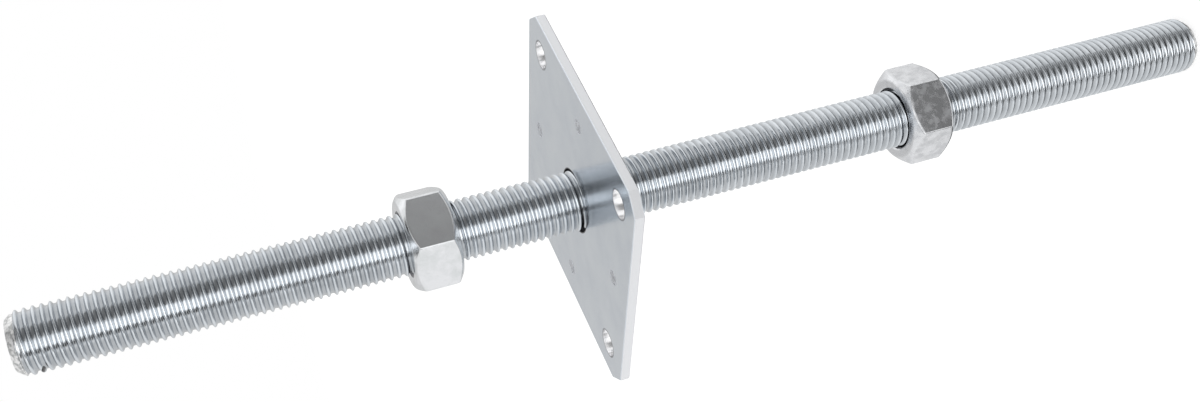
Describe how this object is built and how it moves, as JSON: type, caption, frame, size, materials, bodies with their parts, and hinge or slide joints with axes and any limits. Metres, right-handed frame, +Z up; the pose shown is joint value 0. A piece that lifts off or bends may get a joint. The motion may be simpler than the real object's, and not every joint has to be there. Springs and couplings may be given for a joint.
{
  "type": "adjustable post base",
  "caption": "Threaded rod carrying a square bearing plate with screw holes between two hexagon lock nuts, for a post base of adjustable height.",
  "frame": {"origin": "on the rod's axis, in the upper face of the bearing plate, with the plate at its rest height", "axes": "+Z up the rod towards the post, +X and +Y square to the plate's sides"},
  "size_m": [0.11, 0.11, 0.5],
  "materials": {
    "zinc_steel": "satin"
  },
  "bodies": {
    "rod": {"threaded_rod": "zinc_steel"},
    "plate": {"bearing_plate": "zinc_steel"},
    "nut_above": {"upper_nut": "zinc_steel"},
    "nut_below": {"lower_nut": "zinc_steel"}
  },
  "joints": [
    {"name": "plate_slide", "type": "slide", "parent": "rod", "child": "plate", "axis": [0, 0, 1], "range_m": [-0.1, 0.1]},
    {"name": "upper_nut_slide", "type": "slide", "parent": "plate", "child": "nut_above", "axis": [0, 0, 1], "range_m": [-0.0499, 0.038]},
    {"name": "lower_nut_slide", "type": "slide", "parent": "plate", "child": "nut_below", "axis": [0, 0, 1], "range_m": [-0.025, 0.1374]}
  ]
}
